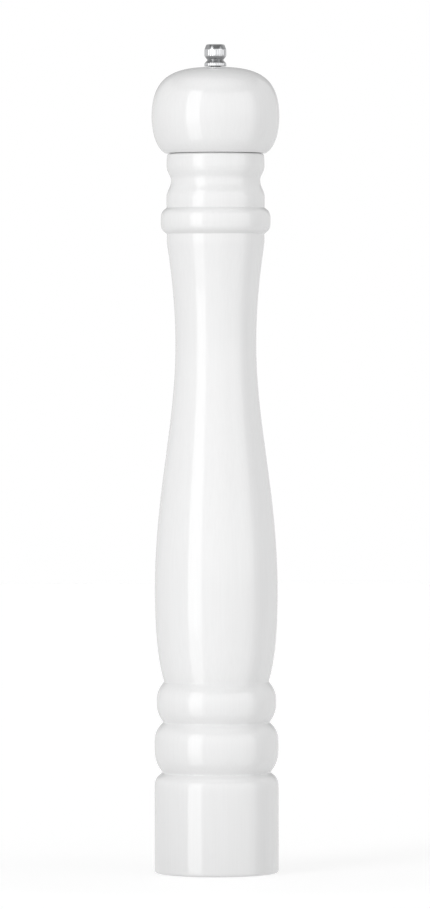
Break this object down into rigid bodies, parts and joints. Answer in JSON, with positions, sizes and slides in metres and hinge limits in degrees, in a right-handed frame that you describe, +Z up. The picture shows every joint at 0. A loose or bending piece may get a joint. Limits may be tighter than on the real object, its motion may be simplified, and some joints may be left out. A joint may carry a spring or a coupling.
{
  "type": "pepper mill",
  "caption": "Tall turned wooden pepper mill in white gloss lacquer: the domed head turns a ceramic cone burr in the base, and a chrome nut on top sets the grind.",
  "frame": {"origin": "centre of the base's underside, on the mill's axis", "axes": "+Z up along the mill's axis, +X along the bridge bar under the burr, +Y across it"},
  "size_m": [0.0616, 0.0616, 0.3995],
  "materials": {
    "white_lacquer": "gloss",
    "chrome": "polished",
    "aluminium": "satin",
    "zinc_plated_steel": "satin",
    "ceramic": "satin",
    "black_nylon": "satin"
  },
  "bodies": {
    "base": {"body": "white_lacquer", "mouth_bush": "black_nylon", "housing": "black_nylon", "stator": "ceramic", "bridge": "zinc_plated_steel", "bridge_screw_1": "zinc_plated_steel", "bridge_screw_2": "zinc_plated_steel", "housing_screw_1": "zinc_plated_steel", "housing_screw_2": "zinc_plated_steel"},
    "drive": {"spring_washer": "zinc_plated_steel", "spring": "zinc_plated_steel"},
    "spindle": {"shaft": "aluminium", "rotor": "ceramic", "rotor_core": "black_nylon", "rotor_washer": "zinc_plated_steel", "shaft_clip": "zinc_plated_steel"},
    "head": {"head": "white_lacquer", "drive_plate": "zinc_plated_steel", "drive_plate_screw_1": "zinc_plated_steel", "drive_plate_screw_2": "zinc_plated_steel"},
    "nut": {"top_nut": "chrome"}
  },
  "joints": [
    {"name": "grind_turn", "type": "hinge", "parent": "base", "child": "drive", "pos_m": [0, 0, 0.0396], "axis": [0, 0, 1], "continuous": true},
    {"name": "grind_adjust", "type": "slide", "parent": "drive", "child": "spindle", "axis": [0, 0, 1], "range_m": [0, 0.002], "deforming": ["spring"]},
    {"name": "head_lift", "type": "slide", "parent": "drive", "child": "head", "axis": [0, 0, 1], "range_m": [0, 0.08]},
    {"name": "nut_turn", "type": "hinge", "parent": "head", "child": "nut", "pos_m": [0, 0, 0.39], "axis": [0, 0, 1], "range_deg": [-900, 0]}
  ],
  "couplings": [
    {"joint": "nut_turn", "follows": "grind_adjust", "rad_per_m": -7854}
  ]
}
